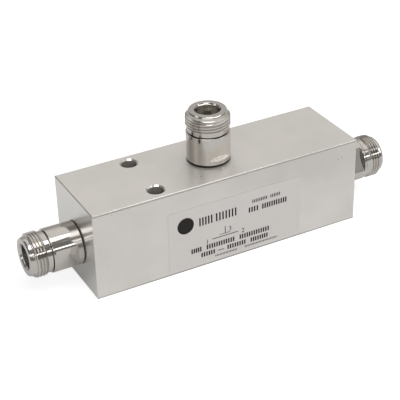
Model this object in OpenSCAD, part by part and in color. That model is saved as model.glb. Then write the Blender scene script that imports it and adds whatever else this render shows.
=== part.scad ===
// Coaxial power tapper: a bored metal bar with three female N jacks.
// The origin is the centre of the bar's base. X runs from the input jack to the through jack,
// the label faces -Y, and the tap jack points up.

/* [Bar] */
// Length of the bar between the two end jacks
bar_l = 104.6; // [96:0.1:130]
// Depth of the bar from the label face to the back
bar_w = 31.75; // [30:0.05:40]
// Height of the bar
bar_h = 33; // [31:0.1:40]
// Width of the broken edges
edge_break = 0.15; // [0.05:0.05:0.8]
// Height of the coaxial line above the base
line_z = 14.6; // [14:0.1:16]
// Bore that the inner line runs through
line_bore_d = 12.7; // [12:0.1:13]

/* [Mounting holes] */
// Diameter of the two vertical through holes
mount_hole_d = 5.6; // [4:0.1:5.8]
// Distance between the two holes, across the bar
mount_pitch = 21.3; // [21:0.1:23]
// Distance from the tap jack back to the row of holes
mount_offset = 26.2; // [20:0.1:36]
// Countersink round each end of a hole
mount_chamfer = 0.5; // [0.1:0.1:0.8]

/* [Jack shells] */
// Length of a jack outside the bar
jack_l = 19.25; // [18.5:0.05:20]
// Diameter of the plain barrel
barrel_d = 15.7; // [15.2:0.1:16.5]
// Height of the barrel's outer edge above the bar
barrel_top = 11.2; // [10.5:0.1:12]
// Distance across the two wrench flats
flats_af = 12.7; // [12.4:0.1:14]
// Height at which the flats begin
flat_start = 2.3; // [1.8:0.1:3]
// Outer diameter of the coupling thread, 5/8-24 UNEF
thread_d = 15.88; // [15.7:0.01:16]
// Height at which the coupling thread begins
thread_start = 13.2; // [12.8:0.1:14]
// Length of the coupling thread
thread_l = 4.5; // [4:0.1:5]
// Diameter of the pilot in front of the thread
pilot_d = 13.9; // [13.2:0.1:14.2]
// Diameter of the plain neck behind the thread
neck_d = 14.7; // [14.2:0.1:15]
// Diameter of the mouth that the plug's sleeve enters
mouth_d = 8.8; // [8.7:0.1:9]
// Depth of the mouth down to its seat
mouth_depth = 9.15; // [9:0.05:9.4]
// Diameter of the spigot that screws into the bar
spigot_d = 13.9; // [13.5:0.1:14]
// Length of the spigot inside the bar
spigot_l = 7; // [6:0.5:8]

/* [Inner line] */
// Outer diameter of a slotted centre contact
contact_d = 3.04; // [2.9:0.02:3.2]
// Bore that takes the plug's pin
contact_bore_d = 1.65; // [1.5:0.05:1.8]
// Distance from the seat out to the contact's tip
contact_reach = 5.2; // [5:0.05:5.4]
// Thickness of the insulating beads
bead_t = 5; // [4:0.1:6]
// Diameter of the input line's two steps, from the jack to the tee
input_steps_d = [5.86, 6.48]; // [5:0.01:7]
// Diameter of the through line's two steps, from the jack to the tee
through_steps_d = [5.2, 4.9]; // [4.6:0.01:7]
// Diameter of the thin high-impedance tap line
tap_line_d = 1.6; // [1.4:0.1:2.4]
// Diameter of the tee hub
hub_d = 7.2; // [7:0.1:8]
// Length of the tee hub
hub_l = 9; // [8:0.5:12]

/* [Label] */
// Width of the label film
label_w = 53.4; // [40:0.1:60]
// Height of the label film
label_h = 24.2; // [15:0.1:25]
// Distance of the film's centre from the middle of the bar
label_shift = 2; // [-5:0.1:5]
// Height of the film's lower edge above the base
label_z = 0.8; // [0.5:0.1:5]
// Radius of the film's corners
label_r = 1.8; // [0.5:0.1:3]
// Thickness of the film
label_t = 0.1; // [0.1:0.05:0.3]

/* [Hidden] */
$fn = 96;
// Overlap that lets a cutting body pass a face cleanly
cut = 1;
// Radial gap between pieces that slide or press into each other
slip = 0.02;

// Bar
port_d = spigot_d + 0.1;
port_depth = spigot_l + 0.5;
tap_bore_d = 10;

// Rubber ring, squeezed between the bar and the shoulder of the shell
ring_gap = 0.32;
ring_section_d = 0.9;
ring_centre_r = spigot_d / 2 + ring_section_d / 2 + slip;

// Shell, outside
barrel_r = barrel_d / 2;
barrel_chamfer = 0.15;
groove_w = 0.35;
groove_r = 6.5;
spigot_chamfer = 0.5;
thread_end = thread_start + thread_l;
thread_chamfer = 0.5;
rim_r = pilot_d / 2 - 0.3;
nose_chamfer_l = 0.65;
flat_end = barrel_top - 0.85;
// Turn of each jack's flats about its own axis, as it was tightened
input_turn = -12;
through_turn = -25;
tap_turn = 10;

// Shell, inside
mouth_r = mouth_d / 2;
// Lead-in round the mouth: wider by this radius at the front, over this length
mouth_lead_r = 0.35;
mouth_lead_l = 0.7;
seat_h = jack_l - mouth_depth;
air_r = 4.05;
pocket_r = 4.9;
bead_front = 8.2;
bead_back = bead_front - bead_t;
bush_r = 3.8;

// Contact
contact_tip = seat_h + contact_reach;
contact_bore_depth = 6.2;
contact_slot_w = 0.3;
contact_slot_depth = 5;
contact_slots = 2;
contact_stem_d = 2.5;
contact_stem_end = -4.5;
contact_tip_chamfer = 0.25;

// Lines
line_end_d = 3.3;
socket_r = contact_stem_d / 2 + slip;
line_socket_depth = bead_back + 4.8;
step_start = -spigot_l - 0.6;
step_split = -27.5;
support_t = 2.4;
support_at = -38;
support_groove_d = 4.4;
support_d = line_bore_d - 0.1;
line_tail_d = 3.2;
line_tail_l = 2.8;
hub_socket_depth = 3;
hub_flat = 0.2;
tap_tail_l = 2.2;
tap_collar_d = 2.4;
tap_collar_l = 1;
line_reach = -(bar_l - hub_l) / 2;
tap_reach = line_z + hub_d / 2 - hub_flat - bar_h;

// Colours
satin_metal = [0.79, 0.77, 0.75];
plated = [0.74, 0.73, 0.71];
gold = [0.85, 0.68, 0.35];
silver = [0.8, 0.8, 0.78];
ptfe = [0.95, 0.95, 0.93];
black_rubber = [0.08, 0.08, 0.08];
film = [0.83, 0.82, 0.8];

// Frames of the three ports: +Z leads out of the bar along the jack's axis
module at_input() {
    translate([-bar_l / 2, 0, line_z]) rotate([0, -90, 0]) children();
}

module at_through() {
    translate([bar_l / 2, 0, line_z]) rotate([0, 90, 0]) children();
}

module at_tap() {
    translate([0, 0, bar_h]) children();
}

// Ring between two heights, from an inner to an outer radius
module ring(inner_r, outer_r, low, high) {
    rotate_extrude()
        translate([inner_r, low]) square([outer_r - inner_r, high - low]);
}

// Rectangle with its four corners broken, centred
module broken_rectangle(width, height, size) {
    x = width / 2;
    y = height / 2;
    polygon([
        [-x + size, -y], [x - size, -y], [x, -y + size], [x, y - size],
        [x - size, y], [-x + size, y], [-x, y - size], [-x, -y + size]
    ]);
}

// Bar stock with all twelve edges broken, centred
module bar_blank() {
    intersection() {
        linear_extrude(height = bar_h, center = true)
            broken_rectangle(bar_l, bar_w, edge_break);
        rotate([90, 0, 0]) linear_extrude(height = bar_w, center = true)
            broken_rectangle(bar_l, bar_h, edge_break);
        rotate([0, 90, 0]) linear_extrude(height = bar_l, center = true)
            broken_rectangle(bar_h, bar_w, edge_break);
    }
}

// Port cut in its own frame: the hole that takes a jack's spigot
module port_cut() {
    translate([0, 0, -port_depth]) cylinder(d = port_d, h = port_depth + cut);
}

// Vertical through hole with a countersink at both ends
module mounting_hole() {
    hole_r = mount_hole_d / 2;
    wide_r = hole_r + mount_chamfer;
    rotate_extrude() polygon([
        [0, -cut], [wide_r, -cut], [wide_r, 0], [hole_r, mount_chamfer],
        [hole_r, bar_h - mount_chamfer], [wide_r, bar_h], [wide_r, bar_h + cut], [0, bar_h + cut]
    ]);
}

module housing() {
    color(satin_metal) difference() {
        translate([0, 0, bar_h / 2]) bar_blank();
        translate([0, 0, line_z]) rotate([0, 90, 0])
            cylinder(d = line_bore_d, h = bar_l + 2 * cut, center = true);
        translate([0, 0, line_z]) cylinder(d = tap_bore_d, h = bar_h - line_z + cut);
        at_input() port_cut();
        at_through() port_cut();
        at_tap() port_cut();
        for (side = [-1, 1])
            translate([-mount_offset, side * mount_pitch / 2, 0]) mounting_hole();
    }
}

// Half section of a jack shell, from the spigot's end outwards and back down the inside
module shell_section() {
    spigot_r = spigot_d / 2;
    neck_r = neck_d / 2;
    thread_r = thread_d / 2;
    pilot_r = pilot_d / 2;
    polygon([
        [pocket_r, -spigot_l],
        [spigot_r - spigot_chamfer, -spigot_l],
        [spigot_r, -spigot_l + spigot_chamfer],
        [spigot_r, ring_gap],
        [barrel_r - barrel_chamfer, ring_gap],
        [barrel_r, ring_gap + barrel_chamfer],
        [barrel_r, barrel_top - barrel_chamfer],
        [barrel_r - barrel_chamfer, barrel_top],
        [groove_r, barrel_top],
        [groove_r, barrel_top + groove_w],
        [neck_r, barrel_top + groove_w],
        [neck_r, thread_start],
        [thread_r, thread_start + thread_chamfer],
        [thread_r, thread_end - thread_chamfer],
        [pilot_r, thread_end],
        [pilot_r, jack_l - nose_chamfer_l],
        [rim_r, jack_l],
        [mouth_r + mouth_lead_r, jack_l],
        [mouth_r, jack_l - mouth_lead_l],
        [mouth_r, seat_h],
        [air_r, seat_h],
        [air_r, bead_front],
        [pocket_r, bead_front]
    ]);
}

// Jack body: a turned shell with two wrench flats milled in its barrel
module jack_shell(turn) {
    color(plated) difference() {
        rotate_extrude() shell_section();
        for (side = [-1, 1])
            rotate([0, 0, turn])
                translate([0, side * (flats_af / 2 + barrel_r / 2), (flat_start + flat_end) / 2])
                    cube([2 * barrel_d, barrel_r, flat_end - flat_start], center = true);
    }
}

// Rubber ring, flat where it is squeezed and round where it bulges
module o_ring() {
    color(black_rubber) rotate_extrude()
        intersection() {
            translate([ring_centre_r, ring_gap / 2]) circle(d = ring_section_d);
            translate([ring_centre_r - ring_section_d, 0])
                square([2 * ring_section_d, ring_gap]);
        }
}

module bead() {
    color(ptfe) ring(contact_stem_d / 2 + slip, pocket_r - slip, bead_back, bead_front);
}

module bush() {
    color(plated) ring(bush_r, pocket_r - slip, -spigot_l, bead_back);
}

// Slotted female contact, with a stem that runs back through the bead
module contact() {
    outer_r = contact_d / 2;
    inner_r = contact_bore_d / 2;
    color(gold) difference() {
        rotate_extrude() polygon([
            [0, contact_stem_end], [contact_stem_d / 2, contact_stem_end],
            [contact_stem_d / 2, bead_front], [outer_r, bead_front],
            [outer_r, contact_tip - contact_tip_chamfer],
            [outer_r - contact_tip_chamfer, contact_tip],
            [inner_r, contact_tip], [inner_r, contact_tip - contact_bore_depth],
            [0, contact_tip - contact_bore_depth]
        ]);
        for (i = [0 : contact_slots - 1])
            rotate([0, 0, 45 + i * 180 / contact_slots])
                translate([0, 0, contact_tip - contact_slot_depth / 2 + cut / 2])
                    cube([contact_d + cut, contact_slot_w, contact_slot_depth + cut], center = true);
    }
}

// Stepped conductor in its port's frame, with a groove for its support disc
module stepped_line(steps_d) {
    end_r = line_end_d / 2;
    outer_r = steps_d[0] / 2;
    inner_r = steps_d[1] / 2;
    groove_r = support_groove_d / 2;
    tail_r = line_tail_d / 2;
    color(silver) rotate_extrude() polygon([
        [0, line_reach - line_tail_l], [tail_r, line_reach - line_tail_l],
        [tail_r, line_reach], [inner_r, line_reach],
        [inner_r, support_at - support_t / 2], [groove_r, support_at - support_t / 2],
        [groove_r, support_at + support_t / 2], [inner_r, support_at + support_t / 2],
        [inner_r, step_split], [outer_r, step_split],
        [outer_r, step_start], [end_r, step_start],
        [end_r, bead_back], [socket_r, bead_back],
        [socket_r, bead_back - line_socket_depth], [0, bead_back - line_socket_depth]
    ]);
}

// Thin conductor from the tap jack down to the tee, seated on the hub by a small collar
module tap_conductor() {
    end_r = line_end_d / 2;
    thin_r = tap_line_d / 2;
    collar_r = tap_collar_d / 2;
    color(silver) rotate_extrude() polygon([
        [0, tap_reach - tap_tail_l], [thin_r, tap_reach - tap_tail_l],
        [thin_r, tap_reach], [collar_r, tap_reach],
        [collar_r, tap_reach + tap_collar_l], [thin_r, tap_reach + tap_collar_l],
        [thin_r, step_start], [end_r, step_start],
        [end_r, bead_back], [socket_r, bead_back],
        [socket_r, bead_back - line_socket_depth], [0, bead_back - line_socket_depth]
    ]);
}

// Tee hub: two end sockets for the lines, and a flat with a socket for the tap line
module junction_hub() {
    socket_at = hub_l / 2 - hub_socket_depth;
    color(silver) translate([0, 0, line_z]) difference() {
        rotate([0, 90, 0]) cylinder(d = hub_d, h = hub_l, center = true);
        for (side = [-1, 1])
            rotate([0, side * 90, 0]) translate([0, 0, socket_at])
                cylinder(d = line_tail_d + 2 * slip, h = hub_socket_depth + cut);
        translate([-hub_l, -hub_d, hub_d / 2 - hub_flat]) cube([2 * hub_l, 2 * hub_d, hub_d]);
        translate([0, 0, hub_d / 2 - hub_flat - tap_tail_l])
            cylinder(d = tap_line_d + 2 * slip, h = hub_d);
    }
}

// Support disc, slotted so that it snaps onto the line's groove
module support_disc() {
    color(ptfe) difference() {
        ring(support_groove_d / 2 + slip, support_d / 2, support_at - support_t / 2,
             support_at + support_t / 2);
        translate([0, support_d / 2, support_at])
            cube([support_groove_d, support_d, support_t + cut], center = true);
    }
}

// Rectangle with round corners, centred
module round_rectangle(width, height, radius) {
    square([width - 2 * radius, height], center = true);
    square([width, height - 2 * radius], center = true);
    for (x = [-1, 1], y = [-1, 1])
        translate([x * (width / 2 - radius), y * (height / 2 - radius)]) circle(r = radius);
}

module rating_label() {
    color(film) translate([label_shift, -bar_w / 2, label_z + label_h / 2]) rotate([90, 0, 0])
        linear_extrude(height = label_t) round_rectangle(label_w, label_h, label_r);
}

housing();
at_input() jack_shell(input_turn);  // input_shell
at_input() o_ring();  // input_o_ring
at_input() bead();  // input_bead
at_input() bush();  // input_bush
at_input() contact();  // input_contact
at_through() jack_shell(through_turn);  // through_shell
at_through() o_ring();  // through_o_ring
at_through() bead();  // through_bead
at_through() bush();  // through_bush
at_through() contact();  // through_contact
at_tap() jack_shell(tap_turn);  // tap_shell
at_tap() o_ring();  // tap_o_ring
at_tap() bead();  // tap_bead
at_tap() bush();  // tap_bush
at_tap() contact();  // tap_contact
at_input() stepped_line(input_steps_d);  // input_line
at_through() stepped_line(through_steps_d);  // through_line
at_tap() tap_conductor();  // tap_line
junction_hub();
at_input() support_disc();  // input_support
at_through() support_disc();  // through_support
rating_label();
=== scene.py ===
"""Looks of a coaxial power tapper: a satin metal bar with three plated N jacks.

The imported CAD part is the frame. The bar, the rubber rings and the inner line keep their solids
and get their finishes here. The three jack shells are replaced by shells with a cut thread and
softened edges, and the film on the front gets its print. Lengths are in millimetres and become
metres only where a mesh or a node is made.
"""

import logging
import math
from dataclasses import dataclass, field
from enum import Enum
from typing import Any, Iterator

import bpy
from mathutils import Matrix, Vector


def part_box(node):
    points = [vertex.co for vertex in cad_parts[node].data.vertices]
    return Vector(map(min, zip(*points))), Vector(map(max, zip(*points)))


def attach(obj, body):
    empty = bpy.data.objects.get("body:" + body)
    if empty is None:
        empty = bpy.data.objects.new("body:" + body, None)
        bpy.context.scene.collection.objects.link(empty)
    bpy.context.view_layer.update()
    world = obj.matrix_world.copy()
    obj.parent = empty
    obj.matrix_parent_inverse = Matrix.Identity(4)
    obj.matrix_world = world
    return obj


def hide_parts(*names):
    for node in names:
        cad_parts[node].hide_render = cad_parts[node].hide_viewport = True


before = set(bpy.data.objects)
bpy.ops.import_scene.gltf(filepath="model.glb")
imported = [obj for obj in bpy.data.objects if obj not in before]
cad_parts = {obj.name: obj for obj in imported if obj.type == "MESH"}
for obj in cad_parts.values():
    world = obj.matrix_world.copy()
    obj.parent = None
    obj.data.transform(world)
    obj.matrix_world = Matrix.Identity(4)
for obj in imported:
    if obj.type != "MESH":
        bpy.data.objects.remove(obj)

MM = 0.001
INCH_MM = 25.4
# Vertices closer than this are one, in millimetres
MERGE_MM = 0.0005
# A component of a normal that leans by 45 degrees, as on a broken edge, and how far it may stray
DIAGONAL = math.sqrt(0.5)
DIAGONAL_SLACK = 0.1
# The wave texture draws a band for every tau / 20 of its scaled coordinate
WAVE_BANDS = math.tau / 20
ROUND_SIDES = 64
# Colour sockets of a mix node, by number, because its other modes use the same names
MIX_COLOURS = (6, 7)
MIX_RESULT = 2
log = logging.getLogger("power_tapper")


class Port(Enum):
    """The three ports, by the outward direction of each jack's axis."""

    INPUT = (-1, 0, 0)
    THROUGH = (1, 0, 0)
    TAP = (0, 0, 1)

    @property
    def word(self) -> str:
        """The port's name, as the CAD nodes begin with it."""
        return self.name.lower()

    @property
    def turn(self) -> Matrix:
        """Turns the jack's own frame, where the axis is +Z, to the port's frame."""
        angle = {Port.INPUT: -90.0, Port.THROUGH: 90.0, Port.TAP: 0.0}[self]
        return Matrix.Rotation(math.radians(angle), 4, "Y")


class Side(Enum):
    """Faces of the bar, by outward normal."""

    FRONT = (0, -1, 0)
    TOP = (0, 0, 1)


def linear(code: str) -> tuple[float, float, float, float]:
    """Turns an sRGB hex colour into linear values.

    Args:
        code: six hex digits, such as "C8C4BE".

    Returns:
        Linear red, green, blue and an alpha of 1.
    """
    shares = [int(code[i:i + 2], 16) / 255 for i in (0, 2, 4)]
    bent = [s / 12.92 if s <= 0.04045 else ((s + 0.055) / 1.055) ** 2.4 for s in shares]
    return (*bent, 1.0)


def add_node(
    tree: bpy.types.NodeTree, kind: str, inputs: dict[Any, Any] | None = None, **settings: Any
) -> bpy.types.Node:
    """Adds one node with its settings, values and links.

    Args:
        tree: the node tree it goes into.
        kind: the node's type name.
        inputs: a value or an output socket for each input, by the input's name or number.
        settings: properties of the node itself.

    Returns:
        The new node.
    """
    node = tree.nodes.new(kind)
    for name, value in settings.items():
        setattr(node, name, value)
    for name, value in (inputs or {}).items():
        if isinstance(value, bpy.types.NodeSocket):
            tree.links.new(value, node.inputs[name])
        else:
            node.inputs[name].default_value = value
    return node


def mix_colours(
    tree: bpy.types.NodeTree, share: Any, first: bpy.types.NodeSocket | str,
    second: bpy.types.NodeSocket | str
) -> bpy.types.NodeSocket:
    """Adds a blend of two colours.

    Args:
        tree: the node tree it goes into.
        share: how much of the second colour shows, as a value or a socket.
        first: six hex digits or a colour socket.
        second: six hex digits or a colour socket.

    Returns:
        The blended colour.
    """
    colours = [linear(code) if isinstance(code, str) else code for code in (first, second)]
    blend = add_node(
        tree, "ShaderNodeMix", {"Factor": share, **dict(zip(MIX_COLOURS, colours))},
        data_type="RGBA")
    return blend.outputs[MIX_RESULT]


def remap(
    tree: bpy.types.NodeTree, value: bpy.types.NodeSocket, low: Any = 0.0, high: Any = 1.0,
    span: tuple[float, float] = (0.0, 1.0), **settings: Any
) -> bpy.types.NodeSocket:
    """Adds a node that turns one span of values into another.

    Args:
        tree: the node tree it goes into.
        value: the value that is turned.
        low: the result at the span's start and before it, as a value or a socket.
        high: the result at the span's end and past it, as a value or a socket.
        span: first and last value, which may run downwards.
        settings: properties of the node.

    Returns:
        The result.
    """
    start, end = span
    return add_node(
        tree, "ShaderNodeMapRange",
        {"Value": value, "From Min": start, "From Max": end, "To Min": low, "To Max": high},
        **settings).outputs["Result"]


def from_axis(tree: bpy.types.NodeTree, point: bpy.types.NodeSocket) -> bpy.types.NodeSocket:
    """Adds the nodes that measure how far a point is from the Z axis.

    Args:
        tree: the node tree they go into.
        point: the point.

    Returns:
        The distance.
    """
    level = add_node(
        tree, "ShaderNodeVectorMath", {0: point, 1: (1, 1, 0)}, operation="MULTIPLY")
    return add_node(
        tree, "ShaderNodeVectorMath", {0: level.outputs["Vector"]},
        operation="LENGTH").outputs["Value"]


def new_material(name: str) -> tuple[bpy.types.Material, bpy.types.NodeTree]:
    """Makes an empty node material.

    Args:
        name: the material's name.

    Returns:
        The material and its cleared node tree.
    """
    material = bpy.data.materials.new(name)
    material.use_nodes = True
    material.node_tree.nodes.clear()
    return material, material.node_tree


def per_metre(period_mm: float) -> float:
    """Scale of a noise texture whose patches are about period_mm wide."""
    return 1.0 / (period_mm * MM)


def dress(obj: bpy.types.Object, material: bpy.types.Material) -> None:
    """Gives every face of a piece one material.

    Args:
        obj: the piece or CAD node.
        material: the finish.
    """
    if not obj.data.materials:
        obj.data.materials.append(material)
    for material_slot in obj.material_slots:
        material_slot.material = material


@dataclass(frozen=True)
class Mark:
    """A spot on the bar, seen in its finish. Some are faint dents and scratches, one is a broad faint
    darkening, and some are lines of painted shade along edges."""

    at: tuple[float, float, float]
    size: tuple[float, float, float]
    turn: float = 0.0
    side: Side = Side.FRONT
    depth: float = 0.5


@dataclass(frozen=True)
class SatinAluminium:
    """Satin-etched aluminium bar under a thin clear film: an even, soft, slightly warm grey, very
    faint clouds, a fine grain, a few handling marks and lines of painted shade along some edges.
    The fly-cut ends are smoother, so they mirror the jacks at low angles, and the broken edges and
    countersinks are burnished. The drilled walls of the holes are painted a little darker, as
    painted shade. Pairs of roughness and weight are for the long sides and for the ends."""

    colour: str = "DFDBD7"
    shade: str = "D8D5D0"
    # Colour of the handling marks and of the painted shade along some edges
    mark_colour: str = "5E5A54"
    # Painted shade: the walls of the screw holes are painted this darker colour
    hole_shade_colour: str = "CCC8C3"
    roughness: tuple[float, float] = (0.6, 0.4)
    edge_roughness: float = 0.2
    film_roughness: tuple[float, float] = (0.19, 0.1)
    film_weight: tuple[float, float] = (0.6, 1.0)
    film_ior: float = 2.1
    end_facing: tuple[float, float] = (0.85, 0.95)
    cloud_mm: float = 14.0
    cloud_span: tuple[float, float] = (0.3, 0.7)
    # The real etch is some 0.03 mm fine, and is drawn coarser so that it shows
    grain_mm: float = 0.22
    grain_strength: float = 0.12
    grain_depth_mm: float = 0.02
    hole_at: tuple[float, float] = (-26.2, 10.65)
    hole_r: float = 2.8
    hole_rim: tuple[float, float] = (0.05, 0.01)
    mark_fade: tuple[float, float] = (1.0, 0.4)
    marks: tuple[Mark, ...] = ()

    def mark_mask(self, tree: bpy.types.NodeTree, place: bpy.types.NodeSocket) -> Any:
        """Adds the nodes that find the handling marks and the lines of painted shade.

        Args:
            tree: the material's tree.
            place: Object coordinates.

        Returns:
            A socket that is each mark's depth inside it and 0 elsewhere.
        """
        found: Any = 0.0
        for mark in self.marks:
            axis_turn = Vector(mark.side.value) * math.radians(mark.turn)
            local = add_node(
                tree, "ShaderNodeMapping",
                {"Vector": place, "Location": [c * MM for c in mark.at],
                 "Rotation": axis_turn, "Scale": [s * MM / 2 for s in mark.size]},
                vector_type="TEXTURE")
            reach = add_node(
                tree, "ShaderNodeVectorMath", {0: local.outputs["Vector"]}, operation="LENGTH")
            shown = remap(tree, reach.outputs["Value"], high=mark.depth, span=self.mark_fade)
            found = add_node(
                tree, "ShaderNodeMath", {0: shown, 1: found},
                operation="MAXIMUM").outputs["Value"]
        return found

    def hole_mask(self, tree: bpy.types.NodeTree, place: bpy.types.NodeSocket) -> Any:
        """Adds the nodes that find the walls of the two screw holes.

        Args:
            tree: the material's tree.
            place: Object coordinates.

        Returns:
            A socket that is 1 on the drilled walls and 0 elsewhere.
        """
        along, across = self.hole_at
        past_wall, on_wall = self.hole_rim
        centred = add_node(
            tree, "ShaderNodeVectorMath", {0: place, 1: (along * MM, 0, 0)}, operation="SUBTRACT")
        folded = add_node(
            tree, "ShaderNodeVectorMath", {0: centred.outputs["Vector"]}, operation="ABSOLUTE")
        offset = add_node(
            tree, "ShaderNodeVectorMath",
            {0: folded.outputs["Vector"], 1: (0, across * MM, 0)}, operation="SUBTRACT")
        return remap(
            tree, from_axis(tree, offset.outputs["Vector"]),
            span=((self.hole_r + past_wall) * MM, (self.hole_r + on_wall) * MM))

    def build(self, name: str) -> bpy.types.Material:
        """Builds the finish.

        Args:
            name: the material's name.

        Returns:
            The material.
        """
        material, tree = new_material(name)
        place = add_node(tree, "ShaderNodeTexCoord").outputs["Object"]
        clouds = add_node(
            tree, "ShaderNodeTexNoise",
            {"Vector": place, "Scale": per_metre(self.cloud_mm), "Detail": 3.0})
        tone = remap(tree, clouds.outputs["Fac"], span=self.cloud_span)
        metal = mix_colours(tree, tone, self.shade, self.colour)
        # Handling marks, and painted shade along some edges of the bar
        marked_and_shaded = mix_colours(tree, self.mark_mask(tree, place), metal, self.mark_colour)
        # The walls of the screw holes painted darker, as painted shade
        surface = mix_colours(tree, self.hole_mask(tree, place), marked_and_shaded, self.hole_shade_colour)
        grain = add_node(
            tree, "ShaderNodeTexNoise",
            {"Vector": place, "Scale": per_metre(self.grain_mm), "Detail": 4.0, "Roughness": 0.6})
        bump = add_node(
            tree, "ShaderNodeBump",
            {"Height": grain.outputs["Fac"], "Strength": self.grain_strength,
             "Distance": self.grain_depth_mm * MM})
        normal = add_node(tree, "ShaderNodeNewGeometry").outputs["True Normal"]
        facing = add_node(
            tree, "ShaderNodeVectorMath", {0: normal}, operation="ABSOLUTE").outputs["Vector"]
        share = add_node(tree, "ShaderNodeSeparateXYZ", {"Vector": facing})
        base_rough, film_rough, film_weight = (
            remap(tree, share.outputs["X"], on_sides, on_ends, span=self.end_facing)
            for on_sides, on_ends in (self.roughness, self.film_roughness, self.film_weight))
        is_edge = add_node(
            tree, "ShaderNodeMath", {0: share.outputs["Z"], 1: DIAGONAL, 2: DIAGONAL_SLACK},
            operation="COMPARE").outputs["Value"]
        rough = remap(tree, is_edge, base_rough, self.edge_roughness)
        skin = add_node(
            tree, "ShaderNodeBsdfPrincipled",
            {"Base Color": surface, "Metallic": 1.0,
             "Roughness": rough, "Normal": bump.outputs["Normal"],
             "Coat Weight": film_weight, "Coat Roughness": film_rough,
             "Coat IOR": self.film_ior, "Coat Normal": bump.outputs["Normal"]})
        add_node(tree, "ShaderNodeOutputMaterial", {"Surface": skin.outputs["BSDF"]})
        return material


@dataclass(frozen=True)
class BrightNickel:
    """Turned brass with bright nickel plate: a near mirror, grey and very slightly warm, with the
    lathe's fine rings about the axis. Down the mouth's bore the plate is thin and dull, and it is
    painted paler there, as painted light. A thin black band of painted shade runs round the
    barrel's foot, up to a given height above the bar's face."""

    colour: str = "C8C4BF"
    dull_colour: str = "BDB9B4"
    roughness: tuple[float, float] = (0.05, 0.13)
    haze_mm: float = 3.0
    # Painted light: the bore is painted paler than the plate
    bore_painted_light_colour: str = "E4E2DF"
    bore_roughness: float = 0.25
    bore_r_mm: float = 4.45
    bore_blend_mm: float = 0.03
    # Real feed marks are some 0.05 mm apart, and are drawn coarser so that they show
    ring_mm: float = 0.16
    ring_wander: float = 0.4
    ring_strength: float = 0.35
    ring_depth_mm: float = 0.0006
    # Painted shade: a thin black band round the barrel's foot, just above the bar's face
    foot_shade_colour: str = "1A1817"
    foot_shade_roughness: float = 0.45
    foot_shade_top_mm: float = 0.0
    foot_shade_blend_mm: float = 0.05

    def build(self, name: str, port: Port, centre: Vector) -> bpy.types.Material:
        """Builds the finish for one jack.

        Args:
            name: the material's name.
            port: which port the jack is in, for its axis.
            centre: a point on the jack's axis, in metres.

        Returns:
            The material.
        """
        material, tree = new_material(name)
        place = add_node(tree, "ShaderNodeTexCoord").outputs["Object"]
        turned = add_node(
            tree, "ShaderNodeMapping",
            {"Vector": place, "Location": centre, "Rotation": port.turn.to_euler()},
            vector_type="TEXTURE").outputs["Vector"]
        ring_scale = WAVE_BANDS / (self.ring_mm * MM)
        along = add_node(
            tree, "ShaderNodeTexWave",
            {"Vector": turned, "Scale": ring_scale, "Distortion": self.ring_wander,
             "Detail": 1.0},
            wave_type="BANDS", bands_direction="Z")
        across = add_node(
            tree, "ShaderNodeTexWave", {"Vector": turned, "Scale": ring_scale},
            wave_type="RINGS", rings_direction="Z")
        rings = add_node(
            tree, "ShaderNodeMath", {0: along.outputs["Fac"], 1: across.outputs["Fac"]},
            operation="ADD")
        bump = add_node(
            tree, "ShaderNodeBump",
            {"Height": rings.outputs["Value"], "Strength": self.ring_strength,
             "Distance": self.ring_depth_mm * MM})
        haze = add_node(
            tree, "ShaderNodeTexNoise",
            {"Vector": turned, "Scale": per_metre(self.haze_mm), "Detail": 3.0})
        plate = mix_colours(tree, haze.outputs["Fac"], self.colour, self.dull_colour)
        plate_rough = remap(tree, haze.outputs["Fac"], *self.roughness)
        in_bore = remap(
            tree, from_axis(tree, turned),
            span=((self.bore_r_mm + self.bore_blend_mm) * MM,
                  (self.bore_r_mm - self.bore_blend_mm) * MM))
        # The bore painted paler than the plate, as painted light
        metal = mix_colours(tree, in_bore, plate, self.bore_painted_light_colour)
        metal_rough = remap(tree, in_bore, plate_rough, self.bore_roughness)
        # A thin black band of painted shade round the barrel's foot
        height = add_node(tree, "ShaderNodeSeparateXYZ", {"Vector": turned}).outputs["Z"]
        shaded_foot = remap(
            tree, height,
            span=((self.foot_shade_top_mm + self.foot_shade_blend_mm) * MM,
                  (self.foot_shade_top_mm - self.foot_shade_blend_mm) * MM))
        skin = add_node(
            tree, "ShaderNodeBsdfPrincipled",
            {"Base Color": mix_colours(tree, shaded_foot, metal, self.foot_shade_colour),
             "Metallic": 1.0,
             "Roughness": remap(tree, shaded_foot, metal_rough, self.foot_shade_roughness),
             "Normal": bump.outputs["Normal"]})
        add_node(tree, "ShaderNodeOutputMaterial", {"Surface": skin.outputs["BSDF"]})
        return material


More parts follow.
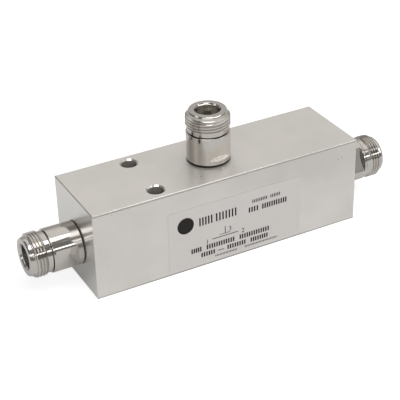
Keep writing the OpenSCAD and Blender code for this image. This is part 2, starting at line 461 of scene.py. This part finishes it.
@dataclass(frozen=True)
class PlainFinish:
    """A finish of two close tones with a fine surface texture, for the smaller pieces. The
    texture is drawn a few times coarser than the real one, which would be too fine to show."""

    colour: str
    second_colour: str
    roughness: float
    roughness_spread: float = 0.05
    metallic: float = 0.0
    mottle_mm: float = 2.0
    grain_mm: float = 0.2
    grain_strength: float = 0.3
    grain_depth_mm: float = 0.004
    sheen: float = 0.0
    subsurface: float = 0.0
    subsurface_mm: float = 0.5
    specular: float = 0.5

    def build(self, name: str) -> bpy.types.Material:
        """Builds the finish.

        Args:
            name: the material's name.

        Returns:
            The material.
        """
        material, tree = new_material(name)
        place = add_node(tree, "ShaderNodeTexCoord").outputs["Object"]
        mottle = add_node(
            tree, "ShaderNodeTexNoise",
            {"Vector": place, "Scale": per_metre(self.mottle_mm), "Detail": 3.0})
        tone = mix_colours(tree, mottle.outputs["Fac"], self.colour, self.second_colour)
        grain = add_node(
            tree, "ShaderNodeTexNoise",
            {"Vector": place, "Scale": per_metre(self.grain_mm), "Detail": 2.0})
        bump = add_node(
            tree, "ShaderNodeBump",
            {"Height": grain.outputs["Fac"], "Strength": self.grain_strength,
             "Distance": self.grain_depth_mm * MM})
        rough = remap(
            tree, mottle.outputs["Fac"], self.roughness - self.roughness_spread,
            self.roughness + self.roughness_spread)
        skin = add_node(
            tree, "ShaderNodeBsdfPrincipled",
            {"Base Color": tone, "Metallic": self.metallic,
             "Roughness": rough, "Normal": bump.outputs["Normal"],
             "Sheen Weight": self.sheen, "Specular IOR Level": self.specular,
             "Subsurface Weight": self.subsurface,
             "Subsurface Scale": self.subsurface_mm * MM})
        add_node(tree, "ShaderNodeOutputMaterial", {"Surface": skin.outputs["BSDF"]})
        return material


# Nitrile rubber, moulded: near black, dull, with a faint bloom
RUBBER = PlainFinish("1E1C1A", "292623", 0.45, grain_mm=0.15, sheen=0.1)
# Virgin PTFE, turned: milky white and a little translucent
PTFE = PlainFinish("F2F0EA", "E9E6DF", 0.38, grain_mm=0.3, subsurface=0.25)
# Thin gold plate on beryllium copper: pale yellow, rubbed a little greyer where a pin enters
GOLD_PLATE = PlainFinish(
    "CEC6B4", "C4BCAA", 0.25, metallic=1.0, mottle_mm=0.8, grain_depth_mm=0.001)
# Silver-plated brass: pale and soft, with a first haze of tarnish
SILVER_PLATE = PlainFinish(
    "D6D3CB", "C2BBAC", 0.24, metallic=1.0, mottle_mm=3.0, grain_depth_mm=0.001)
# Metallised polyester film with a matt overlay: as pale as the bar, but evener
LABEL_FILM = PlainFinish(
    "E2DFDD", "E0DDDA", 0.72, metallic=1.0, mottle_mm=20.0, grain_mm=0.12, grain_depth_mm=0.002)
# Screen ink: a warm black, slightly rough, thinner in places
SCREEN_INK = PlainFinish(
    "181615", "221F1D", 0.6, mottle_mm=0.5, grain_mm=0.1, specular=0.2)


def only(obj: bpy.types.Object) -> None:
    """Selects one object alone and makes it active, in object mode."""
    if bpy.context.mode != "OBJECT":
        bpy.ops.object.mode_set(mode="OBJECT")
    bpy.ops.object.select_all(action="DESELECT")
    obj.select_set(True)
    bpy.context.view_layer.objects.active = obj


def apply_modifier(obj: bpy.types.Object, kind: str, **settings: Any) -> None:
    """Adds one modifier and applies it.

    Args:
        obj: the mesh object.
        kind: the modifier's type.
        settings: properties of the modifier.
    """
    only(obj)
    modifier = obj.modifiers.new(kind.lower(), kind)
    for name, value in settings.items():
        setattr(modifier, name, value)
    bpy.ops.object.modifier_apply(modifier=modifier.name)


def close_mesh(obj: bpy.types.Object) -> None:
    """Merges doubled vertices and turns all normals outwards."""
    only(obj)
    bpy.ops.object.mode_set(mode="EDIT")
    bpy.ops.mesh.select_all(action="SELECT")
    bpy.ops.mesh.remove_doubles(threshold=MERGE_MM * MM)
    bpy.ops.mesh.normals_make_consistent(inside=False)
    bpy.ops.object.mode_set(mode="OBJECT")


def settle(obj: bpy.types.Object, place: Matrix) -> None:
    """Moves a mesh to its place and leaves its object at the origin.

    Args:
        obj: the mesh object.
        place: its place in the row frame, in metres.
    """
    only(obj)
    obj.matrix_world = place
    bpy.ops.object.transform_apply(location=True, rotation=True, scale=True)


@dataclass
class JackShell:
    """The turned and plated body of one N jack, in its own frame: +Z leads out of the bar, and
    z = 0 is the bar's face. Sizes are those of the CAD shell, and the thread and the softened
    edges are added."""

    length: float = 19.25
    ring_gap: float = 0.32
    barrel_d: float = 15.7
    barrel_top: float = 11.2
    barrel_chamfer: float = 0.15
    flats_af: float = 12.7
    flat_span: tuple[float, float] = (2.3, 10.35)
    groove_d: float = 13.0
    groove_w: float = 0.35
    neck_d: float = 14.7
    thread_d: float = 15.88
    thread_span: tuple[float, float] = (13.2, 17.7)
    thread_chamfer: float = 0.5
    threads_per_inch: int = 24
    thread_root_d: float = 14.72
    thread_flank: float = 30.0
    thread_lead_in: float = 0.6
    thread_over: float = 0.12
    thread_phase: float = 0.4
    pilot_d: float = 13.9
    nose_chamfer: tuple[float, float] = (0.3, 0.65)
    mouth_d: float = 8.8
    mouth_depth: float = 9.15
    mouth_lead: tuple[float, float] = (0.35, 0.7)
    air_d: float = 8.1
    pocket_d: float = 9.8
    bead_front: float = 8.2
    spigot_d: float = 13.9
    spigot_l: float = 7.0
    spigot_chamfer: float = 0.5
    soft_edge: float = 0.06
    soft_segments: int = 3
    crease: float = 20.0
    segments: int = 126

    @property
    def pitch(self) -> float:
        """Pitch of the coupling thread, in millimetres."""
        return INCH_MM / self.threads_per_inch

    def stations(self) -> list[tuple[float, float]]:
        """Radius and height of each turned edge, out along the outside and back down the bore."""
        barrel = self.barrel_d / 2
        groove = self.groove_d / 2
        neck = self.neck_d / 2
        thread = self.thread_d / 2
        pilot = self.pilot_d / 2
        spigot = self.spigot_d / 2
        mouth = self.mouth_d / 2
        seat = self.length - self.mouth_depth
        low, high = self.thread_span
        step_in, step_down = self.nose_chamfer
        lead_out, lead_down = self.mouth_lead
        return [
            (self.pocket_d / 2, -self.spigot_l),
            (spigot - self.spigot_chamfer, -self.spigot_l),
            (spigot, self.spigot_chamfer - self.spigot_l),
            (spigot, self.ring_gap),
            (barrel - self.barrel_chamfer, self.ring_gap),
            (barrel, self.ring_gap + self.barrel_chamfer),
            (barrel, self.barrel_top - self.barrel_chamfer),
            (barrel - self.barrel_chamfer, self.barrel_top),
            (groove, self.barrel_top),
            (groove, self.barrel_top + self.groove_w),
            (neck, self.barrel_top + self.groove_w),
            (neck, low),
            (thread, low + self.thread_chamfer),
            (thread, high - self.thread_chamfer),
            (pilot, high),
            (pilot, self.length - step_down),
            (pilot - step_in, self.length),
            (mouth + lead_out, self.length),
            (mouth, self.length - lead_down),
            (mouth, seat),
            (self.air_d / 2, seat),
            (self.air_d / 2, self.bead_front),
            (self.pocket_d / 2, self.bead_front),
        ]

    def turn_body(self) -> bpy.types.Object:
        """Turns the body: one circle, extruded from station to station and closed on itself.

        Returns:
            A closed mesh with no flats and no thread.
        """
        stations = self.stations()
        radius, height = stations[0]
        bpy.ops.mesh.primitive_circle_add(
            vertices=self.segments, radius=radius * MM, location=(0, 0, height * MM))
        body = bpy.context.object
        bpy.ops.object.transform_apply(location=True)
        bpy.ops.object.mode_set(mode="EDIT")
        bpy.ops.mesh.select_all(action="SELECT")
        for next_radius, next_height in [*stations[1:], stations[0]]:
            bpy.ops.mesh.extrude_edges_move(
                TRANSFORM_OT_translate={"value": (0, 0, (next_height - height) * MM)})
            share = next_radius / radius
            bpy.ops.transform.resize(value=(share, share, 1), center_override=(0, 0, 0))
            radius, height = next_radius, next_height
        close_mesh(body)
        return body

    def mill_flats(self, body: bpy.types.Object) -> None:
        """Mills the two wrench flats out of the barrel.

        Args:
            body: the turned body.
        """
        low, high = self.flat_span
        for side in (-1, 1):
            bpy.ops.object.select_all(action="DESELECT")
            bpy.ops.mesh.primitive_cube_add(
                size=MM, location=(0, side * (self.flats_af + self.barrel_d) / 2 * MM,
                                   (low + high) / 2 * MM))
            cutter = bpy.context.object
            cutter.scale = (2 * self.barrel_d, self.barrel_d, high - low)
            bpy.ops.object.transform_apply(location=True, scale=True)
            apply_modifier(body, "BOOLEAN", operation="DIFFERENCE", solver="EXACT", object=cutter)
            bpy.data.objects.remove(cutter)

    def soften(self, body: bpy.types.Object) -> None:
        """Breaks the sharp edges a little, as tumbling and plating leave them.

        Args:
            body: the milled body.
        """
        apply_modifier(
            body, "BEVEL", width=self.soft_edge * MM, segments=self.soft_segments,
            limit_method="ANGLE", angle_limit=math.radians(self.crease), use_clamp_overlap=False)

    def thread_groove(self) -> bpy.types.Object:
        """Makes the thread's groove as a solid: a trapezoid swept along a right-handed helix.

        Returns:
            The cutter, longer than the thread at both ends.
        """
        root = self.thread_root_d / 2
        rim = self.thread_d / 2 + self.thread_over
        root_half = self.pitch / 8 / 2  # the flat at the root is an eighth of the pitch
        rim_half = root_half + (rim - root) * math.tan(math.radians(self.thread_flank))
        low, high = self.thread_span
        start = low - self.thread_lead_in - self.thread_phase
        turns = math.ceil((high + self.thread_lead_in - start) / self.pitch)
        bpy.ops.object.select_all(action="DESELECT")
        bpy.ops.mesh.primitive_plane_add(size=MM, rotation=(math.pi / 2, 0, 0))
        cutter = bpy.context.object
        cutter.scale = (rim - root, 2 * root_half, 1)
        cutter.location = ((root + rim) / 2 * MM, 0, start * MM)
        bpy.ops.object.transform_apply(location=True, rotation=True, scale=True)
        bpy.ops.object.mode_set(mode="EDIT")
        bpy.ops.mesh.select_all(action="DESELECT")
        bpy.ops.object.mode_set(mode="OBJECT")
        middle = (root + rim) / 2 * MM
        for vertex in cutter.data.vertices:
            vertex.select = vertex.co.x > middle
        bpy.ops.object.mode_set(mode="EDIT")
        bpy.ops.transform.resize(
            value=(1, 1, rim_half / root_half), center_override=(0, 0, start * MM))
        bpy.ops.mesh.select_all(action="SELECT")
        bpy.ops.mesh.delete(type="ONLY_FACE")
        bpy.ops.object.mode_set(mode="OBJECT")
        apply_modifier(
            cutter, "SCREW", screw_offset=self.pitch * MM, iterations=turns,
            steps=self.segments, render_steps=self.segments, use_smooth_shade=False)
        bpy.ops.object.mode_set(mode="EDIT")
        bpy.ops.mesh.select_all(action="SELECT")
        bpy.ops.mesh.fill_holes(sides=0)
        close_mesh(cutter)
        half_segment = math.pi / self.segments
        settle(cutter, Matrix.Rotation(half_segment, 4, "Z"))
        return cutter

    def cut_thread(self, body: bpy.types.Object) -> None:
        """Cuts the coupling thread into its blank.

        Args:
            body: the softened body.
        """
        cutter = self.thread_groove()
        apply_modifier(body, "BOOLEAN", operation="DIFFERENCE", solver="EXACT", object=cutter)
        bpy.data.objects.remove(cutter)

    def build(self) -> bpy.types.Object:
        """Makes the finished shell in its own frame, flats facing +Y and -Y."""
        body = self.turn_body()
        self.mill_flats(body)
        self.soften(body)
        self.cut_thread(body)
        close_mesh(body)
        bpy.ops.object.shade_smooth_by_angle(angle=math.radians(self.crease))
        apply_modifier(body, "WEIGHTED_NORMAL", keep_sharp=True)
        return body


@dataclass
class Jacks:
    """The three jacks: shells modelled once and copied to their ports, and the CAD pieces that
    each holds. Flats are turned about each jack's axis, in degrees, and the band of painted shade
    on each barrel's foot reaches so many millimetres above the bar's face."""

    shell: JackShell = field(default_factory=JackShell)
    flat_turns: dict[Port, float] = field(
        default_factory=lambda: {Port.INPUT: -12.0, Port.THROUGH: -25.0, Port.TAP: 10.0})
    # Height of the band of painted shade on each barrel's foot; only the tap's rises above the bar
    foot_shade_tops: dict[Port, float] = field(
        default_factory=lambda: {Port.INPUT: 0.0, Port.THROUGH: 0.0, Port.TAP: 0.87})

    def foot(self, port: Port) -> Vector:
        """The point where a jack's axis leaves the bar.

        Args:
            port: the port.

        Returns:
            The point in the row frame, in metres.
        """
        out = Vector(port.value)
        low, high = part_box(f"{port.word}_shell")
        tip = (low + high) / 2 + out * abs(out.dot(high - low)) / 2
        return tip - out * self.shell.length * MM

    def build_shells(self) -> None:
        """Makes the three shells and puts each in its port."""
        pattern = self.shell.build()
        for port in Port:
            nickel = BrightNickel(foot_shade_top_mm=self.foot_shade_tops[port])
            shell = pattern.copy()
            shell.data = pattern.data.copy()
            shell.name = f"{port.word}_threaded_shell"
            bpy.context.scene.collection.objects.link(shell)
            foot = self.foot(port)
            flats = Matrix.Rotation(math.radians(self.flat_turns[port]), 4, "Z")
            settle(shell, Matrix.Translation(foot) @ port.turn @ flats)
            dress(shell, nickel.build(f"bright_nickel_{port.word}", port, foot))
            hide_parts(f"{port.word}_shell")
            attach(shell, "root")
            log.info("%s: %d faces", shell.name, len(shell.data.polygons))
        bpy.data.objects.remove(pattern)

    def dress_inner_pieces(self) -> None:
        """Gives the rings, beads, bushes and contacts of every jack their finishes."""
        finishes = {
            "o_ring": RUBBER.build("nitrile_rubber"),
            "bead": PTFE.build("turned_ptfe"),
            "bush": SILVER_PLATE.build("silver_plated_bush"),
            "contact": GOLD_PLATE.build("gold_plated_contact"),
        }
        for port in Port:
            for part, material in finishes.items():
                dress(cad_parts[f"{port.word}_{part}"], material)
        log.info("rings, beads, bushes and contacts dressed")


@dataclass
class Housing:
    """The bar, with the inner line that runs through it."""

    # Handling marks, a broad faint darkening and three lines of painted shade along edges
    marks: tuple[Mark, ...] = (
        Mark(at=(44.6, -15.875, 27.2), size=(1.6, 1, 0.5), turn=-8, depth=0.45),
        Mark(at=(46.2, -15.875, 27.5), size=(0.9, 1, 0.6), turn=-15, depth=0.6),
        Mark(at=(-45.2, -15.875, 31.4), size=(0.45, 1, 0.45), depth=0.5),
        # A faint, broad darkening over the front's upper right
        Mark(at=(30, -15.875, 29), size=(112, 1, 21), turn=-3, depth=0.11),
        # Painted contact shadow along the front's lower edge
        Mark(at=(0, -15.875, 0), size=(190, 1, 1.4), depth=0.9),
        # Painted shade just under the front's upper broken edge
        Mark(at=(0, -15.875, 32.45), size=(300, 1, 0.85), depth=0.5),
        # Painted shade along the upper edge of the left end
        Mark(at=(-52.3, 0, 33), size=(1.1, 240, 1.1), depth=0.35),
        Mark(at=(-10.3, -10.3, 33), size=(0.8, 0.5, 1), side=Side.TOP, depth=0.55),
        Mark(at=(-8.7, -10.5, 33), size=(1.1, 0.5, 1), side=Side.TOP, depth=0.8),
        Mark(at=(-9.5, -12.3, 33), size=(1.4, 0.6, 1), turn=-20, side=Side.TOP, depth=0.3),
        Mark(at=(4.4, -10.5, 33), size=(1.8, 0.45, 1), turn=15, side=Side.TOP, depth=0.4),
    )

    def dress(self) -> None:
        """Gives the bar and the inner line their finishes."""
        dress(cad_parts["housing"], SatinAluminium(marks=self.marks).build("satin_aluminium"))
        silver = SILVER_PLATE.build("silver_plated_line")
        for name in ("input_line", "through_line", "tap_line", "junction_hub"):
            dress(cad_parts[name], silver)
        ptfe = PTFE.build("slotted_ptfe")
        for name in ("input_support", "through_support"):
            dress(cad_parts[name], ptfe)
        log.info("bar and inner line dressed")


@dataclass(frozen=True)
class PrintRow:
    """One row of generic print: groups of plain upright bars.

    Groups are in millimetres from the bar's left end, and top and bottom from its upper face.
    """

    top: float
    bottom: float
    groups: tuple[tuple[float, float], ...]
    stroke: float = 0.58
    gap: float = 0.36


@dataclass
class RatingLabel:
    """The film on the front with its generic print: groups of bars, a plain round spot, a line
    sketch of the ports and their plain numbers."""

    ink_t: float = 0.012
    spot_at: tuple[float, float] = (34.3, 14.4)
    spot_r: float = 3.2
    rows: tuple[PrintRow, ...] = (
        PrintRow(12.9, 16.2, ((39.6, 44.8), (46.2, 54.4)), gap=0.6),
        PrintRow(11.9, 13.2, ((60.9, 66.9), (68.3, 72.2)), stroke=0.38, gap=0.32),
        PrintRow(14.7, 16.8, ((59.4, 63.2), (64.9, 75.0))),
        PrintRow(24.7, 26.6, ((36.2, 40.2), (42.3, 53.4), (55.6, 67.7))),
        PrintRow(27.4, 29.2, ((40.1, 45.5), (50.6, 58.0), (60.1, 67.2))),
        PrintRow(30.0, 30.7, ((45.7, 54.4), (57.7, 71.0)), stroke=0.3, gap=0.3),
    )
    strokes: tuple[tuple[float, float, float, float], ...] = (
        (44.6, 22.85, 55.0, 23.15),
        (47.5, 22.0, 51.8, 22.2),
        (49.65, 19.3, 49.95, 22.2),
        (46.8, 28.3, 49.3, 28.6),
    )
    numerals: tuple[tuple[str, float, float], ...] = (
        ("1", 42.6, 23.6),
        ("2", 57.0, 23.3),
        ("3", 51.8, 20.8),
    )
    numeral_size: float = 2.6
    curve_steps: int = 4

    def place(self, across: float, down: float) -> Vector:
        """Middle of the ink at a place given from the bar's left end and its upper face.

        Args:
            across: millimetres from the left end.
            down: millimetres from the upper face.

        Returns:
            The point in the row frame, in metres.
        """
        bar_low, bar_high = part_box("housing")
        film_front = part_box("rating_label")[0].y
        return Vector((bar_low.x + across * MM, film_front - self.ink_t / 2 * MM,
                       bar_high.z - down * MM))

    def plate(self, box: tuple[float, float, float, float]) -> bpy.types.Object:
        """Adds one thin block of ink.

        Args:
            box: left, top, right and bottom, from the bar's left end and its upper face.

        Returns:
            The block.
        """
        left, top, right, bottom = box
        bpy.ops.object.select_all(action="DESELECT")
        bpy.ops.mesh.primitive_cube_add(size=MM)
        block = bpy.context.object
        size = Matrix.Diagonal((right - left, self.ink_t, bottom - top, 1))
        middle = self.place((left + right) / 2, (top + bottom) / 2)
        settle(block, Matrix.Translation(middle) @ size)
        return block

    def spot(self) -> bpy.types.Object:
        """Adds the thin round spot of ink."""
        bpy.ops.object.select_all(action="DESELECT")
        bpy.ops.mesh.primitive_circle_add(
            vertices=ROUND_SIDES, radius=self.spot_r * MM, fill_type="NGON")
        spot = bpy.context.object
        apply_modifier(spot, "SOLIDIFY", thickness=self.ink_t * MM, offset=0)
        upright = Matrix.Rotation(math.radians(90), 4, "X")
        settle(spot, Matrix.Translation(self.place(*self.spot_at)) @ upright)
        return spot

    def numeral(self, sign: str, across: float, down: float) -> bpy.types.Object:
        """Adds one port number.

        Args:
            sign: the digit.
            across: its middle, in millimetres from the bar's left end.
            down: its middle, in millimetres from the bar's upper face.

        Returns:
            The digit as a thin solid.
        """
        bpy.ops.object.select_all(action="DESELECT")
        bpy.ops.object.text_add()
        digit = bpy.context.object
        digit.data.body = sign
        digit.data.align_x = "CENTER"
        digit.data.align_y = "CENTER"
        digit.data.extrude = 0.5  # half of its thickness, to either side
        digit.data.resolution_u = self.curve_steps
        bpy.ops.object.convert(target="MESH")
        digit = bpy.context.object
        close_mesh(digit)
        upright = Matrix.Rotation(math.radians(90), 4, "X")
        size = Matrix.Diagonal((self.numeral_size * MM, self.numeral_size * MM, self.ink_t * MM, 1))
        settle(digit, Matrix.Translation(self.place(across, down)) @ upright @ size)
        return digit

    def group_bars(self, row: PrintRow) -> Iterator[tuple[float, float, float, float]]:
        """Splits a row's groups into upright bars.

        Args:
            row: the row.

        Yields:
            The box of each bar.
        """
        for start, end in row.groups:
            count = max(2, round((end - start + row.gap) / (row.stroke + row.gap)))
            step = (end - start - row.stroke) / (count - 1)
            for i in range(count):
                left = start + i * step
                yield (left, row.top, left + row.stroke, row.bottom)

    def build(self) -> None:
        """Dresses the film and prints on it."""
        dress(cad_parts["rating_label"], LABEL_FILM.build("metallised_film"))
        pieces = [self.plate(box) for row in self.rows for box in self.group_bars(row)]
        pieces += [self.plate(box) for box in self.strokes]
        pieces += [self.numeral(*numeral) for numeral in self.numerals]
        pieces.append(self.spot())
        bpy.ops.object.select_all(action="DESELECT")
        for piece in pieces:
            piece.select_set(True)
        bpy.context.view_layer.objects.active = pieces[0]
        bpy.ops.object.join()
        ink = bpy.context.object
        ink.name = "label_print"
        dress(ink, SCREEN_INK.build("screen_ink"))
        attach(ink, "root")
        log.info("%s: %d pieces of ink", ink.name, len(pieces))


@dataclass(frozen=True)
class Lamp:
    """One soft box, placed in metres from the bar's centre along the row frame's axes.

    Its width runs level, turned by so many degrees from +X, and it is tilted towards the bar.
    A mirror shows a lamp of brightness 1 a little over white, at 4 / pi. A fill shows in no
    mirror.
    """

    name: str
    place: tuple[float, float, float]
    size: tuple[float, float]
    brightness: float
    turn: float = 0.0
    fill: bool = False
    watts_per_area: float = 4.0

    def build(self, centre: Vector) -> None:
        """Adds the lamp.

        Args:
            centre: the bar's centre, in metres.
        """
        width, depth = self.size
        light = bpy.data.lights.new(self.name, "AREA")
        light.shape = "RECTANGLE"
        light.size = width
        light.size_y = depth
        light.energy = self.watts_per_area * self.brightness * width * depth
        lamp = bpy.data.objects.new(self.name, light)
        place = Vector(self.place)
        turn = math.radians(self.turn)
        level = Matrix.Rotation(-turn, 3, "Z") @ place
        lamp.location = centre + place
        lamp.rotation_euler = (math.atan2(-level.y, level.z), 0, turn)
        lamp.visible_camera = False
        lamp.visible_glossy = not self.fill
        bpy.context.scene.collection.objects.link(lamp)


@dataclass
class Studio:
    """White table, a room that is white behind and above and dim in front, and soft boxes.

    The camera sees plain white all round. A mirror sees a share of that white, which is small
    in front and on the table, because the real jacks mirror a dim room there.
    """

    floor_r: float = 8.0
    floor_colour: str = "BEBEBE"
    shown_colour: str = "8E8E8E"
    floor_glow: float = 0.05
    shown_glow: float = 0.83
    floor_share: float = 0.16
    room_turn: float = -50.0
    room_dim: float = 0.25
    room_colour: str = "FFFDFA"
    horizon_share: float = 0.29
    room_rise: tuple[float, float] = (0.3, 0.73)
    room_edge: tuple[float, float] = (0.08, 0.28)
    lamps: tuple[Lamp, ...] = (
        Lamp("overhead_box", (-0.049, -0.097, 0.6), (0.43, 0.27), 2.2, turn=-24.0),
        Lamp("edge_strip", (0.27, -0.4, 0.586), (0.2, 0.08), 1.7),
        Lamp("end_strip", (0.515, -0.4, 0.586), (0.29, 0.08), 1.0),
        Lamp("near_box", (-0.23, -0.25, 0.6), (0.46, 0.12), 2.0, turn=-36.0),
        Lamp("low_box", (0.73, -1.1, 0.31), (0.35, 0.3), 0.18, turn=33.0),
        Lamp("front_strip", (0.35, -0.59, 0.305), (0.6, 0.06), 3.0),
        Lamp("left_strip", (-0.127, -0.48, 0.37), (0.4, 0.06), 3.0, turn=-27.5),
        Lamp("left_box", (-0.9, 0.1, 0.45), (0.4, 0.4), 0.75, turn=-84.0),
        Lamp("right_box", (0.6, -0.464, 0.426), (0.14, 0.3), 1.8, turn=52.0),
        Lamp("camera_box", (-0.3, -0.52, 0.28), (0.7, 0.12), 1.2, turn=-27.5),
        Lamp("key_fill", (0.443, -0.44, 0.94), (0.8, 0.8), 4.4, fill=True),
    )

    def white_share(self, tree: bpy.types.NodeTree, in_mirrors: Any) -> bpy.types.NodeSocket:
        """Adds the nodes that say how much of the white background a ray sees.

        Args:
            tree: the material's or world's tree.
            in_mirrors: the share that glossy rays see, as a value or a socket.

        Returns:
            A socket that is 1 for camera and transmission rays, the share for glossy rays and 0
            for all others.
        """
        rays = add_node(tree, "ShaderNodeLightPath")
        mirrored = add_node(
            tree, "ShaderNodeMath", {0: rays.outputs["Is Glossy Ray"], 1: in_mirrors},
            operation="MULTIPLY")
        direct = add_node(
            tree, "ShaderNodeMath",
            {0: rays.outputs["Is Camera Ray"], 1: rays.outputs["Is Transmission Ray"]},
            operation="MAXIMUM")
        return add_node(
            tree, "ShaderNodeMath",
            {0: direct.outputs["Value"], 1: mirrored.outputs["Value"]},
            operation="MAXIMUM").outputs["Value"]

    def build_floor(self) -> None:
        """Lays the white table. It glows a little, so that it reads white and keeps a shadow."""
        bpy.ops.object.select_all(action="DESELECT")
        bpy.ops.mesh.primitive_circle_add(
            vertices=ROUND_SIDES, radius=self.floor_r, fill_type="NGON")
        floor = bpy.context.object
        floor.name = "table_top"
        material, tree = new_material("white_table")
        shown = self.white_share(tree, self.floor_share)
        glow = remap(tree, shown, self.floor_glow, self.shown_glow)
        paint = mix_colours(tree, shown, self.floor_colour, self.shown_colour)
        cloth = add_node(tree, "ShaderNodeBsdfDiffuse", {"Color": paint})
        shine = add_node(tree, "ShaderNodeEmission", {"Strength": glow})
        both = add_node(
            tree, "ShaderNodeAddShader", {0: cloth.outputs["BSDF"], 1: shine.outputs["Emission"]})
        add_node(tree, "ShaderNodeOutputMaterial", {"Surface": both.outputs["Shader"]})
        dress(floor, material)

    def build_room(self) -> None:
        """Sets the world, with its white and dim parts."""
        world = bpy.data.worlds.new("studio_room")
        world.use_nodes = True
        tree = world.node_tree
        tree.nodes.clear()
        angle = math.radians(self.room_turn)
        back = Vector((-math.sin(angle), math.cos(angle), 0))
        ray = add_node(tree, "ShaderNodeTexCoord").outputs["Generated"]
        facing = add_node(
            tree, "ShaderNodeVectorMath", {0: ray, 1: back}, operation="DOT_PRODUCT")
        upward = add_node(tree, "ShaderNodeSeparateXYZ", {"Vector": ray}).outputs["Z"]
        wall = remap(tree, upward, low=self.horizon_share, span=self.room_rise)
        mirrored = remap(
            tree, facing.outputs["Value"], high=wall, span=self.room_edge,
            interpolation_type="SMOOTHSTEP")
        level = remap(tree, self.white_share(tree, mirrored), low=self.room_dim)
        sky = add_node(
            tree, "ShaderNodeBackground",
            {"Color": linear(self.room_colour), "Strength": level})
        add_node(tree, "ShaderNodeOutputWorld", {"Surface": sky.outputs["Background"]})
        bpy.context.scene.world = world

    def build(self) -> None:
        """Builds the floor, the room and the lamps."""
        low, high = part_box("housing")
        for lamp in self.lamps:
            lamp.build((low + high) / 2)
        self.build_floor()
        self.build_room()
        log.info("studio ready")


@dataclass
class PhotoCamera:
    """The camera at the photograph's viewing angle, placed about the centre of the bar. Angles
    are in degrees, and lengths in millimetres."""

    azimuth: float = -27.478
    elevation: float = 30.833
    roll: float = -1.595
    distance: float = 446.806
    slide: tuple[float, float] = (3.423, 0.814)
    lens: float = 111.467
    sensor: float = 36.0

    def build(self) -> None:
        """Adds the camera and makes it the scene's."""
        turn, rise = math.radians(self.azimuth), math.radians(self.elevation)
        tilt = math.radians(self.roll)
        back = Vector((math.sin(turn) * math.cos(rise), -math.cos(turn) * math.cos(rise),
                       math.sin(rise)))
        level = Vector((math.cos(turn), math.sin(turn), 0))
        upright = back.cross(level)
        right = level * math.cos(tilt) + upright * math.sin(tilt)
        up = upright * math.cos(tilt) - level * math.sin(tilt)
        low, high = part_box("housing")
        slide_x, slide_y = self.slide
        at = (low + high) / 2 + (back * self.distance - level * slide_x - upright * slide_y) * MM
        lens = bpy.data.cameras.new("photo_camera")
        lens.lens = self.lens
        lens.sensor_width = self.sensor
        camera = bpy.data.objects.new("photo_camera", lens)
        bpy.context.scene.collection.objects.link(camera)
        camera.matrix_world = Matrix.Translation(at) @ Matrix((right, up, back)).transposed().to_4x4()
        bpy.context.scene.camera = camera


def main() -> None:
    """Builds the looks in order: camera, studio, bar, jacks and label."""
    logging.basicConfig(level=logging.INFO, format="%(message)s")
    bpy.context.scene.view_settings.view_transform = "Standard"
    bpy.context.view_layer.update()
    PhotoCamera().build()
    Studio().build()
    Housing().dress()
    jacks = Jacks()
    jacks.build_shells()
    jacks.dress_inner_pieces()
    RatingLabel().build()


if __name__ == "__main__":
    main()
